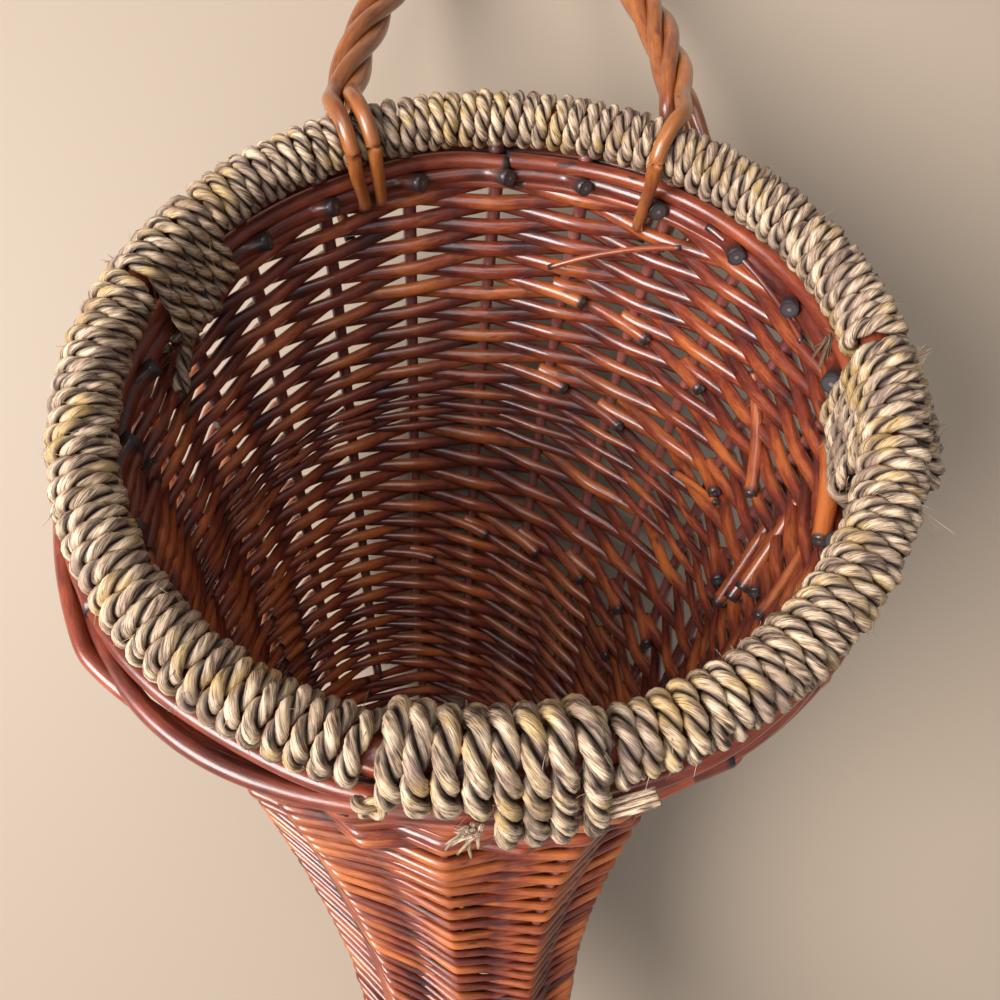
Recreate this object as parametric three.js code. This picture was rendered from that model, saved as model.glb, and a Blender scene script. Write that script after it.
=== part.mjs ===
// Cornucopia basket: a curved horn of stained willow woven on stakes, a rolled border,
// a mouth hoop bound with seagrass rope and lashed on in three places, and a twisted willow handle.
//
// Millimetres. Everything is placed in the basket's own frame: the origin is the centre of the mouth hoop,
// +Z points straight out of the mouth and +Y points from that centre to the handle. At the end the whole
// basket is tipped about X, so that it lies on its belly and its handle, with +Z up and its tail at -Y.
import * as THREE from 'three';

// Mouth hoop and its rope
const hoopRadius = 125; // to the middle of the hoop's rod
const hoopDiameter = 8.4;
const ropeDiameter = 7.2;
const ropeSpace = 0.8; // between neighbouring turns, where they lie closest
const ropeSteps = 8; // along one turn
const lashingTurns = 6;
const lashingSteps = 8;

// Willow
const stakeDiameter = 6.2;
const stakeTipDiameter = 2.6;
const bandThickness = 5; // a band is a slew of thin rods woven side by side
const bandTailThickness = 2;
const borderDiameter = 6.2;
const handleRodDiameter = 6.6;
const rodSides = 5;
const bindingDiameter = 2.6; // the withy round the stakes' gathered ends
const gap = 0.4; // between pieces that touch on the real basket
const bulge = 0.3; // how far a stake's short straight runs stray from its curve

// Horn: the spine is a run of arcs, from the mouth to the tail's tip
const collarLength = 34; // straight, under the border
const shoulderLength = 194;
const waistLength = 102;
const tailLength = 190; // curling up
const spineArcs = [
  { length: collarLength, bend: 0 },
  { length: shoulderLength, bend: 51.5 },
  { length: waistLength, bend: 12.4 },
  { length: tailLength, bend: 56 },
];
const spineLength = collarLength + shoulderLength + waistLength + tailLength;
const wallShape = [ // share of the spine's length, and the stakes' circle there in hoop radii
  [0, 1.048], [0.058, 1.04], [0.115, 0.992], [0.183, 0.932], [0.25, 0.868], [0.327, 0.78], [0.413, 0.66],
  [0.5, 0.492], [0.577, 0.376], [0.77, 0.224], [0.942, 0.124], [1, 0.052],
];
const swingWidth = 14.4; // the horn swings this far to the left and comes back
const swingPeak = 0.4; // share of the spine's length
const swingEnd = 0.88;
const stakeCount = 22; // round the mouth; every second one goes on to the tip
const stakeTop = 13; // the stakes end under the rope
const jointStep = 5; // each row's joint lies this many stakes on from the last one's
const borderTop = 16.2; // depth of the upper border rods
const weaveTop = 39; // the rope lashings pass between the border and the weave
const weaveThin = 128; // the by-stakes end here
const weaveEnd = 476;
const bindingStart = 492;
const bindingTurns = 3;
const mouthPitch = 10; // one row of the mouth's weave
const hornPitch = 10.6; // one row where the horn's weave starts
const tailPitch = 6; // and where it ends
const bandFill = 0.9; // share of a row's pitch that the band fills
const hornLengths = 10; // the horn's one weaver is pieced from this many slews of rods

// Lashings and handle, placed by angles round the mouth from the handle side
const stakeAngle = 360 / stakeCount;
const lashings = { front: 11 * stakeAngle, right: 6 * stakeAngle, left: -4 * stakeAngle };
const handleCentre = 6; // the arch stands a little to the right
const handleHalfWidth = 66;
const handleCrossing = 11; // how far outside the hoop its rods cross the rope
const handleFoot = 10; // the arch springs this far outside the hoop
const handleHeight = 140;
const handleTopRadius = 46; // the arch has one tight arc at its top and a wide one at each side
const handleTurns = 4; // of the rods round each other
const handleRodDepth = 52; // how far the rods' ends are poked down the wall
const restTilt = 41.5; // from the mouth's normal to the vertical, when the basket lies at rest

const { clamp, degToRad, radToDeg, lerp, smoothstep, smootherstep } = THREE.MathUtils;
const xAxis = new THREE.Vector3(1, 0, 0);

// Materials
const finish = (color, roughness) => new THREE.MeshStandardMaterial({ color, roughness, metalness: 0 });
const willow = finish(0x8a3a1c, 0.42);
const darkWillow = finish(0x5e2416, 0.45);
const paleWillow = finish(0xa2581f, 0.38);
const seagrass = finish(0xb29a6a, 0.85);

// A closed body through a row of rings with as many points each, with flat ends. Every ring runs
// anticlockwise, seen from the far end of the body.
function loft(rings) {
  const count = rings[0].length;
  const positions = rings.flat().flatMap((point) => point.toArray());
  const faces = [];
  for (let row = 0; row < rings.length - 1; row++) {
    for (let i = 0; i < count; i++) {
      const a = row * count + i;
      const b = row * count + ((i + 1) % count);
      faces.push(a, b, b + count, a, b + count, a + count);
    }
  }
  const last = (rings.length - 1) * count;
  for (let i = 1; i < count - 1; i++) {
    faces.push(0, i + 1, i);
    faces.push(last, last + i, last + i + 1);
  }
  const geometry = new THREE.BufferGeometry();
  geometry.setAttribute('position', new THREE.Float32BufferAttribute(positions, 3));
  geometry.setIndex(faces);
  geometry.computeVertexNormals();
  return geometry;
}

// A round rod along a row of points. Its section is carried from point to point without turning about
// the rod, and diameterAt gives its diameter at a share of the way along.
function rod(points, diameterAt, sides) {
  const rings = [];
  let side = null;
  points.forEach((point, i) => {
    const before = points[Math.max(i - 1, 0)];
    const after = points[Math.min(i + 1, points.length - 1)];
    const along = after.clone().sub(before).normalize();
    if (!side) {
      const least = Math.abs(along.x) < 0.8 ? xAxis : new THREE.Vector3(0, 0, 1);
      side = new THREE.Vector3().crossVectors(along, least);
    }
    side.addScaledVector(along, -side.dot(along)).normalize();
    const up = new THREE.Vector3().crossVectors(along, side);
    const radius = diameterAt(i / (points.length - 1)) / 2;
    rings.push(Array.from({ length: sides }, (_, j) => {
      const angle = (2 * Math.PI * j) / sides;
      return point.clone()
        .addScaledVector(side, radius * Math.cos(angle))
        .addScaledVector(up, radius * Math.sin(angle));
    }));
  });
  return loft(rings);
}

// How far a rod's many-sided section reaches from its middle: between its flats and its corners
const halfWidth = (diameter) => (diameter / 4) * (1 + Math.cos(Math.PI / rodSides));

// The spine's point and direction at a distance from the mouth. It starts straight down into the mouth and
// bends away from the handle, with a swing sideways that eases out and back.
function spine(distance) {
  const peak = swingPeak * spineLength;
  const outward = Math.sin((Math.PI / 2) * clamp((distance - collarLength) / (peak - collarLength), 0, 1));
  const x = -swingWidth * outward * (1 - smoothstep(distance, peak, swingEnd * spineLength));
  let y = 0;
  let z = 0;
  let heading = 0;
  let left = distance;
  for (const { length, bend } of spineArcs) {
    const run = Math.min(left, length);
    const turn = (degToRad(bend) * run) / length;
    const chord = turn ? (run * Math.sin(turn / 2)) / (turn / 2) : run;
    y -= chord * Math.sin(heading + turn / 2);
    z -= chord * Math.cos(heading + turn / 2);
    heading += turn;
    left -= run;
  }
  return { x, y, z, heading };
}

// The stakes' circle: a smooth curve through wallShape, with each span's ends sloped like its neighbours.
function wallRadius(distance) {
  const share = distance / spineLength;
  const last = wallShape.length - 1;
  let span = 0;
  while (span < last - 1 && share > wallShape[span + 1][0]) {
    span++;
  }
  const slope = (i) => {
    const [s0, r0] = wallShape[Math.max(i - 1, 0)];
    const [s1, r1] = wallShape[Math.min(i + 1, last)];
    return (r1 - r0) / (s1 - s0);
  };
  const [start, from] = wallShape[span];
  const [end, to] = wallShape[span + 1];
  const width = end - start;
  const t = (share - start) / width;
  const bowed = width * t * (1 - t) * ((1 - t) * slope(span) - t * slope(span + 1));
  return hoopRadius * (lerp(from, to, smoothstep(t, 0, 1)) + bowed);
}

// A point of the wall: distance down the spine, angle round it from the handle side towards +X, and how far
// it lies outside the stakes' circle.
function wallPoint(distance, angle, outside = 0) {
  const { x, y, z, heading } = spine(distance);
  const radius = wallRadius(distance) + outside;
  const back = radius * Math.cos(degToRad(angle));
  return new THREE.Vector3(
    x + radius * Math.sin(degToRad(angle)),
    y + back * Math.cos(heading),
    z - back * Math.sin(heading),
  );
}

// A point by its place round the mouth: angle, distance from the mouth's axis, height and a sideways shift.
function mouthPoint(angle, radius, height, shift = 0) {
  const turn = degToRad(angle);
  return new THREE.Vector3(
    radius * Math.sin(turn) + shift * Math.cos(turn),
    radius * Math.cos(turn) - shift * Math.sin(turn),
    height,
  );
}

const basket = new THREE.Group();
const numbered = (name, number) => `${name}_${String(number).padStart(2, '0')}`;

function addPiece(name, geometry, material) {
  const mesh = new THREE.Mesh(geometry, material);
  mesh.name = name;
  basket.add(mesh);
  return mesh;
}

// The rod of the mouth hoop
addPiece('rim_hoop', new THREE.TorusGeometry(hoopRadius, hoopDiameter / 2, 6, 40), darkWillow);

// Stakes: every second one is a main stake that goes on to the tip
function stakePoints(angle, from, to, steps) {
  return Array.from({ length: steps + 1 }, (_, i) => wallPoint(lerp(from, to, i / steps), angle));
}

const stakeWidth = (distance) => lerp(stakeDiameter, stakeTipDiameter, distance / spineLength);

function addStakes() {
  for (let i = 0; i < stakeCount; i++) {
    const isMain = i % 2 === 1;
    const end = isMain ? spineLength : weaveThin;
    const points = stakePoints(i * stakeAngle, stakeTop, end, isMain ? 23 : 6);
    const taper = (t) => stakeWidth(lerp(stakeTop, end, t));
    const name = numbered(isMain ? 'main_stake' : 'by_stake', Math.floor(i / 2) + 1);
    addPiece(name, rod(points, taper, rodSides), isMain ? willow : darkWillow);
  }
}
addStakes();

// The turn, in degrees, that trims half a gap off a piece's end, where two ends butt
const buttTrim = (distance) => radToDeg(gap / 2 / wallRadius(distance));

// A woven band: one section at each stake that it crosses, outside it and inside it by turns. A crossing has
// its distance down the spine, its angle, its side (1 outside, -1 inside) and its row's pitch. Between two
// stakes, step degrees apart, the band runs straight, so it leans on a stake and clears it by that lean.
function band(crossings, step) {
  const last = crossings.length - 1;
  const rings = crossings.map(({ distance, angle, side, pitch }, i) => {
    const reach = (bandFill * pitch) / 2;
    const trim = buttTrim(distance) * (Number(i === 0) - Number(i === last));
    const thickness = lerp(bandThickness, bandTailThickness, distance / weaveEnd);
    const stakeReach = stakeWidth(distance) / 2 + bulge + gap;
    const run = 2 * wallRadius(distance) * Math.sin(degToRad(step / 2));
    const lean = degToRad(step / 2) + Math.atan((2 * stakeReach + thickness) / run);
    const swing = stakeReach / Math.cos(lean) + thickness / 2;
    const inner = side * swing - thickness / 2;
    const outer = side * swing + thickness / 2;
    return [
      wallPoint(distance + reach, angle + trim, outer),
      wallPoint(distance - reach, angle + trim, outer),
      wallPoint(distance - reach, angle + trim, inner),
      wallPoint(distance + reach, angle + trim, inner),
    ];
  });
  return loft(rings);
}

// Mouth weave: the stakes are even in number, so each row is a slew of its own, and its ends butt on a stake.
// Neighbouring rows pass the stakes on opposite sides.
function addMouthWeave() {
  const rows = Math.round((weaveThin - weaveTop) / mouthPitch);
  const pitch = (weaveThin - weaveTop) / rows;
  for (let row = 0; row < rows; row++) {
    const joint = jointStep * row;
    const crossings = Array.from({ length: stakeCount + 1 }, (_, i) => ({
      distance: weaveTop + pitch * (row + 0.5),
      angle: (joint + i) * stakeAngle,
      side: (joint + i + row) % 2 ? -1 : 1,
      pitch,
    }));
    addPiece(numbered('mouth_weaver', row + 1), band(crossings, stakeAngle), row % 2 ? darkWillow : willow);
  }
}
addMouthWeave();

// Horn weave: the main stakes are odd in number, so one weaver alternates on its own as it spirals down. It
// is pieced from several slews, which butt on a stake.
function addHornWeave() {
  const crossings = [];
  let distance = weaveThin + hornPitch / 2;
  for (let i = 0; distance < weaveEnd; i++) {
    const pitch = lerp(hornPitch, tailPitch, (distance - weaveThin) / (weaveEnd - weaveThin));
    crossings.push({ distance, angle: (2 * i + 1) * stakeAngle, side: i % 2 ? -1 : 1, pitch });
    distance += (2 * pitch) / stakeCount;
  }
  for (let i = 0; i < hornLengths; i++) {
    const from = Math.round((i * (crossings.length - 1)) / hornLengths);
    const to = Math.round(((i + 1) * (crossings.length - 1)) / hornLengths);
    addPiece(numbered('horn_weaver', i + 1), band(crossings.slice(from, to + 1), 2 * stakeAngle), willow);
  }
}
addHornWeave();

// Tail: the main stakes' ends are gathered and bound with a withy
function addTailBinding() {
  const steps = bindingTurns * ropeSteps;
  const pitch = bindingDiameter + gap + ropeSpace / 2;
  const points = Array.from({ length: steps + 1 }, (_, k) => {
    const distance = bindingStart + (pitch * k) / ropeSteps;
    const outside = (stakeWidth(distance) + bindingDiameter) / 2 + gap;
    return wallPoint(distance, (360 * k) / ropeSteps, outside / Math.cos(Math.PI / ropeSteps) + gap);
  });
  addPiece('tail_binding', rod(points, () => bindingDiameter, rodSides), paleWillow);
}
addTailBinding();

// Rolled border: two rods outside the stakes and two inside, each with its butt joint at its own place
const borderOffset = (stakeDiameter + borderDiameter) / 2 + bulge + gap;
const borderRows = [borderTop, borderTop + borderDiameter + gap];
const borderSteps = 2 * stakeCount;

function addBorder() {
  [1, -1].forEach((side, i) => {
    borderRows.forEach((depth, j) => {
      const joint = (2 + jointStep * (2 * i + j)) * stakeAngle;
      const points = Array.from({ length: borderSteps + 1 }, (_, k) => {
        const trim = buttTrim(depth) * (Number(k === 0) - Number(k === borderSteps));
        return wallPoint(depth, joint + (360 * k) / borderSteps + trim, side * borderOffset);
      });
      const name = `border_rod_${side > 0 ? 'outer' : 'inner'}_${j + 1}`;
      addPiece(name, rod(points, () => borderDiameter, rodSides), i ? darkWillow : willow);
    });
  });
}
addBorder();

// The least gap from a rope to itself: the least distance between points of its middle line that lie more
// than half a turn apart along it, less the rope's diameter.
function leastSelfGap(points, stepsPerTurn) {
  const parts = 4;
  const dense = points.slice(1).flatMap((point, i) => (
    Array.from({ length: parts }, (_, k) => points[i].clone().lerp(point, k / parts))
  ));
  const apart = (stepsPerTurn * parts) / 2;
  let least = Infinity;
  for (let i = 0; i < dense.length; i++) {
    for (let j = i + apart; j < Math.min(i + 3 * apart, dense.length); j++) {
      least = Math.min(least, dense[i].distanceTo(dense[j]));
    }
  }
  return least - ropeDiameter;
}

// A straight end, one rope diameter long, at both ends of a winding.
function withStraightEnds(points) {
  const start = points[0].clone().sub(points[1]).setLength(ropeDiameter).add(points[0]);
  const end = points.at(-1).clone().sub(points.at(-2)).setLength(ropeDiameter).add(points.at(-1));
  return [start, ...points, end];
}

function addRope(name, points, stepsPerTurn) {
  const rope = withStraightEnds(points);
  console.log(`${name}: least gap to itself ${leastSelfGap(rope, stepsPerTurn).toFixed(2)} mm`);
  addPiece(name, rod(rope, () => ropeDiameter, rodSides), seagrass);
}

// One turn of a lashing, as the tight belt round the hoop and the border rods, in the plane through the
// mouth's axis: each side of the belt touches the outermost of these circles, and its corners are where
// neighbouring sides meet.
function lashingBelt() {
  const circles = [{ radius: hoopRadius, height: 0, reach: hoopDiameter / 2 }];
  const chordSag = hoopRadius * (1 - Math.cos(Math.PI / borderSteps));
  for (const depth of borderRows) {
    for (const side of [1, -1]) {
      const { x, z } = wallPoint(depth, 90, side * borderOffset);
      circles.push({ radius: x, height: z, reach: borderDiameter / 2 + chordSag });
    }
  }
  const belt = Array.from({ length: lashingSteps }, (_, i) => {
    const angle = Math.PI / 2 - (2 * Math.PI * i) / lashingSteps;
    const out = Math.cos(angle);
    const up = Math.sin(angle);
    const reach = Math.max(...circles.map((c) => c.radius * out + c.height * up + c.reach));
    return { out, up, reach: reach + ropeDiameter / 2 + gap };
  });
  return belt.map((side, i) => {
    const next = belt[(i + 1) % lashingSteps];
    const cross = side.out * next.up - side.up * next.out;
    return {
      radius: (side.reach * next.up - next.reach * side.up) / cross,
      height: (side.out * next.reach - next.out * side.reach) / cross,
    };
  });
}

const belt = lashingBelt();
const beltInside = Math.min(...belt.map(({ radius }) => radius));
const lashingPitch = radToDeg((ropeDiameter + ropeSpace) / beltInside);
const stakeSkip = radToDeg((stakeDiameter + ropeDiameter + 2 * gap) / wallRadius(weaveTop)) - lashingPitch;
const lashingHalf = (lashingPitch * lashingTurns + stakeSkip) / 2;

const windRadius = ((hoopDiameter + ropeDiameter) / 2 + gap) / Math.cos(Math.PI / ropeSteps);

// Rim rope: three lengths wound round the hoop, each from one lashing to the next
function addRimRope() {
  const pitch = radToDeg((ropeDiameter + ropeSpace) / (hoopRadius - windRadius));
  const clear = lashingHalf + lashingPitch;
  const spans = [
    ['back', lashings.left + clear, lashings.right - clear],
    ['right', lashings.right + clear, lashings.front - clear],
    ['left', lashings.front + clear, lashings.left + 360 - clear],
  ];
  for (const [name, from, to] of spans) {
    const steps = Math.floor((to - from) / pitch) * ropeSteps;
    const points = Array.from({ length: steps + 1 }, (_, k) => {
      const around = (2 * Math.PI * k) / ropeSteps;
      const radius = hoopRadius + windRadius * Math.sin(around);
      return mouthPoint(lerp(from, to, k / steps), radius, windRadius * Math.cos(around));
    });
    addRope(`rim_rope_${name}`, points, ropeSteps);
  }
}
addRimRope();

// Lashings: each goes round hoop and border, and skips the stake at its middle
function addLashings() {
  for (const [name, centre] of Object.entries(lashings)) {
    const steps = lashingTurns * lashingSteps;
    const points = Array.from({ length: steps + 1 }, (_, k) => {
      const turn = k / lashingSteps - lashingTurns / 2;
      const skip = stakeSkip * (smootherstep(turn, -0.5, 0.5) - 0.5);
      const { radius, height } = belt[k % lashingSteps];
      return mouthPoint(centre + lashingPitch * turn + skip, radius, height);
    });
    addRope(`rope_lashing_${name}`, points, lashingSteps);
  }
}
addLashings();

// Handle: four rods twisted round each other in an arch. Two go over the rope at the left foot and one at the
// right, down the inside of the wall; the others go down outside the border.
const handleSteps = 8; // along one turn of a rod
const handleLean = 0.9; // a rod's lean brings it nearer to its neighbours, by about this much
const handleSpread = (handleRodDiameter + 1.5 * gap) / handleLean;
const handleTwist = handleSpread / Math.SQRT2 / Math.cos(Math.PI / handleSteps);

// The route of one end, from the wall up to the arch: down the inside of the wall and over the rope, or down
// the outside of the border. It keeps clear of the rope on a circle about the hoop's rod.
function handleEnd(angle, over, shift) {
  const half = over ? handleRodDiameter / 2 : halfWidth(handleRodDiameter);
  const onBorderHalf = over ? borderDiameter / 2 : halfWidth(borderDiameter);
  const side = over ? -1 : 1;
  const onBorder = wallRadius(borderTop) + side * (borderOffset + onBorderHalf + half + gap);
  const onWeave = wallRadius(handleRodDepth) + side * (stakeDiameter / 2 + bandThickness + half + 3 * gap);
  const underBorder = -borderRows[1] - half;
  const rollAngles = over ? [200, 165, 130, 95, 60] : [];
  const rollStep = degToRad(35);
  const roll = (windRadius + halfWidth(ropeDiameter) + half + gap) / Math.cos(rollStep / 2);
  const route = [
    [onWeave, -handleRodDepth],
    [onBorder, underBorder],
    ...(over ? [] : [[onBorder, -borderRows[0] + half]]),
    ...rollAngles.map(degToRad).map((turn) => [hoopRadius + roll * Math.cos(turn), roll * Math.sin(turn)]),
  ];
  return route.map(([radius, height]) => mouthPoint(angle, radius, height, shift));
}

// The handle's middle line, in the mouth's plane: a basket-handle arch of three arcs
function handleArch() {
  const rise = handleHeight - handleTopRadius;
  const sideRadius = (handleHalfWidth ** 2 + rise ** 2 - handleTopRadius ** 2)
    / (2 * (handleHalfWidth - handleTopRadius));
  const sweep = Math.asin(rise / (sideRadius - handleTopRadius));
  const across = sideRadius - handleHalfWidth;
  const footY = hoopRadius + handleFoot;
  const arch = new THREE.CurvePath();
  const arc = (x, y, radius, from, to) => (
    arch.add(new THREE.EllipseCurve(x, y, radius, radius, from, to, true))
  );
  arc(across, footY, sideRadius, Math.PI, Math.PI - sweep);
  arc(0, footY + rise, handleTopRadius, Math.PI - sweep, sweep);
  arc(-across, footY, sideRadius, sweep, 0);
  return arch;
}

function addHandle() {
  const [leftFoot, rightFoot] = [-1, 1].map((side) => (
    radToDeg(Math.asin((handleCentre + side * handleHalfWidth) / (hoopRadius + handleCrossing)))
  ));
  const lane = (handleRodDiameter + 5 * gap) / Math.cos(degToRad(rightFoot));
  const ends = [ // over the rope or not, and which lane, at the left and the right foot
    { left: [true, -0.5], right: [false, 1] },
    { left: [true, 0.5], right: [true, 0] },
    { left: [false, 0.5], right: [false, -1] },
    { left: [false, -0.5], right: [false, 0] },
  ];
  const arch = handleArch();
  const steps = handleTurns * handleSteps;
  ends.forEach(({ left, right }, i) => {
    const twisted = Array.from({ length: steps + 1 }, (_, k) => {
      const share = k / steps;
      const { x, y } = arch.getPoint(share);
      const along = arch.getTangent(share);
      const phase = degToRad(45 + 90 * i + share * (360 * handleTurns - 45));
      const out = handleTwist * Math.cos(phase);
      return new THREE.Vector3(
        handleCentre + x - along.y * out,
        y + along.x * out,
        handleTwist * Math.sin(phase),
      );
    });
    const points = [
      ...handleEnd(leftFoot, left[0], left[1] * lane),
      ...twisted,
      ...handleEnd(rightFoot, right[0], right[1] * lane).reverse(),
    ];
    addPiece(`handle_rod_${i + 1}`, rod(points, () => handleRodDiameter, rodSides), paleWillow);
  });
}
addHandle();

// Stand the basket at rest, its origin under the middle of its box
basket.rotation.x = -degToRad(restTilt);
basket.updateMatrixWorld(true);
const box = new THREE.Box3().setFromObject(basket, true);
basket.position.set(-(box.min.x + box.max.x) / 2, -(box.min.y + box.max.y) / 2, -box.min.z);
basket.updateMatrixWorld(true);

export default basket;
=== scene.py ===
import bpy
import numpy as np
from mathutils import Matrix, Vector


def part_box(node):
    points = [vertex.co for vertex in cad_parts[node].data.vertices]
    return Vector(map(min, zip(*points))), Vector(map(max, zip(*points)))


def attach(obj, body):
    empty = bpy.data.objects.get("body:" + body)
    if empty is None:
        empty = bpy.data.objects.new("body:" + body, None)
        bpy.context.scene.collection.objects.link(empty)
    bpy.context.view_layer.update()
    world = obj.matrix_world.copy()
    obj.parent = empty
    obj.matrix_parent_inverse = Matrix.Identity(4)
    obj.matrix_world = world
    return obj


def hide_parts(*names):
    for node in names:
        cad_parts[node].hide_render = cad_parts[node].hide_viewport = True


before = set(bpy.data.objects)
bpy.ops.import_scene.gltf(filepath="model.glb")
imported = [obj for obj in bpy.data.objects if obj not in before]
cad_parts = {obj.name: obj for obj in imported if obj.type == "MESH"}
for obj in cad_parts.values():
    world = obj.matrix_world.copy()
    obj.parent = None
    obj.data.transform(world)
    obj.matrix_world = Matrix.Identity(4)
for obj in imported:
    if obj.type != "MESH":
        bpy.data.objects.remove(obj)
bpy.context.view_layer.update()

draw = np.random.default_rng(41)  # for every random choice, in the file's order

# The basket is worked out in its own frame, in millimetres: the origin is the middle of the mouth hoop,
# +Z points out of the mouth and +Y towards the handle. toRow tips it as it lies at rest.
basket = {"restTilt": 41.5, "stakeCount": 22, "hoopRadius": 125, "hoopRod": 4.2}
lowCorner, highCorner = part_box("rim_hoop")
hoopCentre = np.array((lowCorner + highCorner) / 2)
hoopRadius, stakeCount = basket["hoopRadius"], basket["stakeCount"]
restTurn = np.radians(basket["restTilt"])
tipped = np.array([
    [1, 0, 0],
    [0, np.cos(restTurn), np.sin(restTurn)],
    [0, -np.sin(restTurn), np.cos(restTurn)],
])


def toRow(points):
    # turned about X by the rest tilt, made metres and moved to the hoop's centre
    return points @ tipped.T / 1000 + hoopCentre


def unit(vectors):
    # arrays of points or directions hold x, y and z in their last axis
    return vectors / np.maximum(np.linalg.norm(vectors, axis=-1, keepdims=True), 1e-9)


def blend(a, b, share):
    # a at share 0, b at share 1, in a straight line between them
    return a + (b - a) * share


def eased(low, high, value):
    # 0 below low, 1 above high, and 3t^2 - 2t^3 between them
    t = np.clip((value - low) / (high - low), 0, 1)
    return t * t * (3 - 2 * t)


def relaxed(path, times, share=1):
    # each point moves towards (before + 2 itself + after) / 4 by its share, the ends stay
    move = np.broadcast_to(share, len(path))[1:-1, None]
    for _ in range(times):
        middle = path[1:-1] + move * (path[:-2] - 2 * path[1:-1] + path[2:]) / 4
        path = np.concatenate([path[:1], middle, path[-1:]])
    return path


def lengthAlong(path):
    # how far along the polyline each of its points lies
    return np.concatenate([[0], np.cumsum(np.linalg.norm(np.diff(path, axis=0), axis=1))])


def squareTo(path, up):
    # side and up at each point, square to the path and to each other
    ahead = unit(np.gradient(path, axis=0))
    side = unit(np.cross(ahead, up))
    return side, np.cross(side, ahead)


def sampled(table, value):
    # a table's other columns at value of its first
    at, *columns = np.array(table, float).T
    return [np.interp(value, at, column) for column in columns]


def wavy(along, reach, span):
    # three sines of random phase, about span long and reach high
    waves = [np.sin(2 * np.pi * along / (span * k) + draw.uniform(0, 6.28)) for k in (0.6, 1, 1.7)]
    return reach * (0.3 * waves[0] + 0.5 * waves[1] + 0.4 * waves[2])


# the horn's wall, with the sizes of the solid model
wall = {
    "arcs": [(34, 0), (194, 51.5), (102, 12.4), (190, 56)],  # length and bend, from mouth to tip
    "length": 520,
    "shape": [  # share of the length, and the stakes' circle there in hoop radii
        (0, 1.048), (0.058, 1.04), (0.115, 0.992), (0.183, 0.932), (0.25, 0.868), (0.327, 0.78),
        (0.413, 0.66), (0.5, 0.492), (0.577, 0.376), (0.77, 0.224), (0.942, 0.124), (1, 0.052),
    ],
    "swing": 14.4, "swingPeak": 0.4, "swingEnd": 0.88,
    "floorRoom": 8.6,  # the stakes' circle stays this far above the floor
}
stakeAngle = 360 / stakeCount


def spineAt(distance):
    # the end of a run of arcs: each adds a chord at half its turn, and the swing moves it sideways
    y, z, heading, left = (np.zeros_like(distance) for _ in range(4))
    left = left + distance
    for length, bend in wall["arcs"]:
        run = np.clip(left, 0, length)
        turn = np.radians(bend) * run / length
        chord = run * np.sinc(turn / 2 / np.pi)
        y = y - chord * np.sin(heading + turn / 2)
        z = z - chord * np.cos(heading + turn / 2)
        heading = heading + turn
        left = left - length
    collar = wall["arcs"][0][0]
    peak = wall["swingPeak"] * wall["length"]
    outward = np.sin(np.pi / 2 * np.clip((distance - collar) / (peak - collar), 0, 1))
    x = -wall["swing"] * outward * (1 - eased(peak, wall["swingEnd"] * wall["length"], distance))
    return x, y, z, heading


def wallRadius(distance):
    # cubic through the table's points, its slope at each from the points beside it
    at, value = np.array(wall["shape"]).T
    before = np.maximum(np.arange(len(at)) - 1, 0)
    after = np.minimum(np.arange(len(at)) + 1, len(at) - 1)
    slope = (value[after] - value[before]) / (at[after] - at[before])
    share = np.clip(distance / wall["length"], 0, 1)
    i = np.clip(np.searchsorted(at, share, "left") - 1, 0, len(at) - 2)
    width = at[i + 1] - at[i]
    t = (share - at[i]) / width
    bow = width * t * (1 - t) * ((1 - t) * slope[i] - t * slope[i + 1])
    return hoopRadius * (blend(value[i], value[i + 1], t * t * (3 - 2 * t)) + bow)


def wallPoint(distance, angle, outside=0):
    # spine + (radius + outside) out, where out is square to the spine and turned by angle from the
    # handle side to +X. Where the ring comes too low, by short, it is pressed up by
    # (short + sqrt(short^2 + 3)) / 2
    distance = np.asarray(distance, float)
    x, y, z, heading = spineAt(distance)
    turn = np.radians(angle) + np.zeros_like(distance)
    out = np.stack([np.sin(turn), np.cos(turn) * np.cos(heading), -np.cos(turn) * np.sin(heading)], -1)
    ring = np.stack([x, y, z], -1) + wallRadius(distance)[..., None] * out
    short = wall["floorRoom"] - (ring @ tipped[2] + 1000 * hoopCentre[2])
    press = (short + np.sqrt(short ** 2 + 3)) / 2
    return ring + np.broadcast_to(outside, distance.shape)[..., None] * out + press[..., None] * tipped[2]


def wallDown(distance, angle):
    # the step down the wall for one millimetre of spine
    return wallPoint(distance + 0.5, angle) - wallPoint(distance - 0.5, angle)


def wallNormal(distance, angle):
    # the step round the wall x the step down it, made one long: it points outwards
    around = wallPoint(distance, angle + 0.5) - wallPoint(distance, angle - 0.5)
    return unit(np.cross(around, wallDown(distance, angle)))


rodUv = {"perMillimetre": 0.1, "pith": (2.5, 0.5), "face": 0.5}  # the middle and radius of cut faces


def endShade(away, length):
    # 1 at a rod's end, falling to 0 at length from it
    return np.clip(1 - away / length, 0, 1) if length else np.zeros_like(away)


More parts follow.
